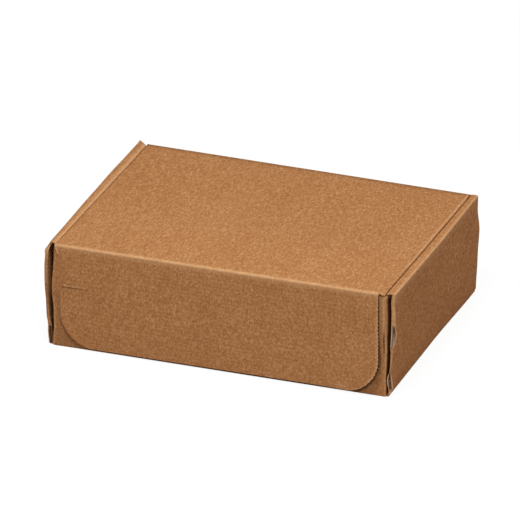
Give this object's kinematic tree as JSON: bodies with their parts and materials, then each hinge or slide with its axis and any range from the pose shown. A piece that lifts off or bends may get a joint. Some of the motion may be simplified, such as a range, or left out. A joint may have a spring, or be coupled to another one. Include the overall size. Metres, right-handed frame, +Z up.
{
  "type": "cardboard mailer box",
  "caption": "Closed roll-end mailer box folded from one sheet of plain kraft corrugated board, with a hinged lid and an outer front flap that both open.",
  "frame": {"origin": "on the floor, below the middle of the closed box's bounding box", "axes": "+Z up, the front flap faces -Y, the lid's hinge runs along X at the back"},
  "size_m": [0.236, 0.17, 0.071],
  "materials": {
    "kraft_board": "uncoated kraft liner"
  },
  "bodies": {
    "tray": {"tray": "kraft_board"},
    "lid": {"lid": "kraft_board"},
    "front_flap": {"front_flap": "kraft_board"}
  },
  "joints": [
    {"name": "lid_hinge", "type": "hinge", "parent": "tray", "child": "lid", "pos_m": [0, 0.085, 0.071], "axis": [-1, 0, 0], "range_deg": [0, 180]},
    {"name": "flap_hinge", "type": "hinge", "parent": "lid", "child": "front_flap", "pos_m": [0, -0.085, 0.071], "axis": [-1, 0, 0], "range_deg": [0, 110]}
  ]
}
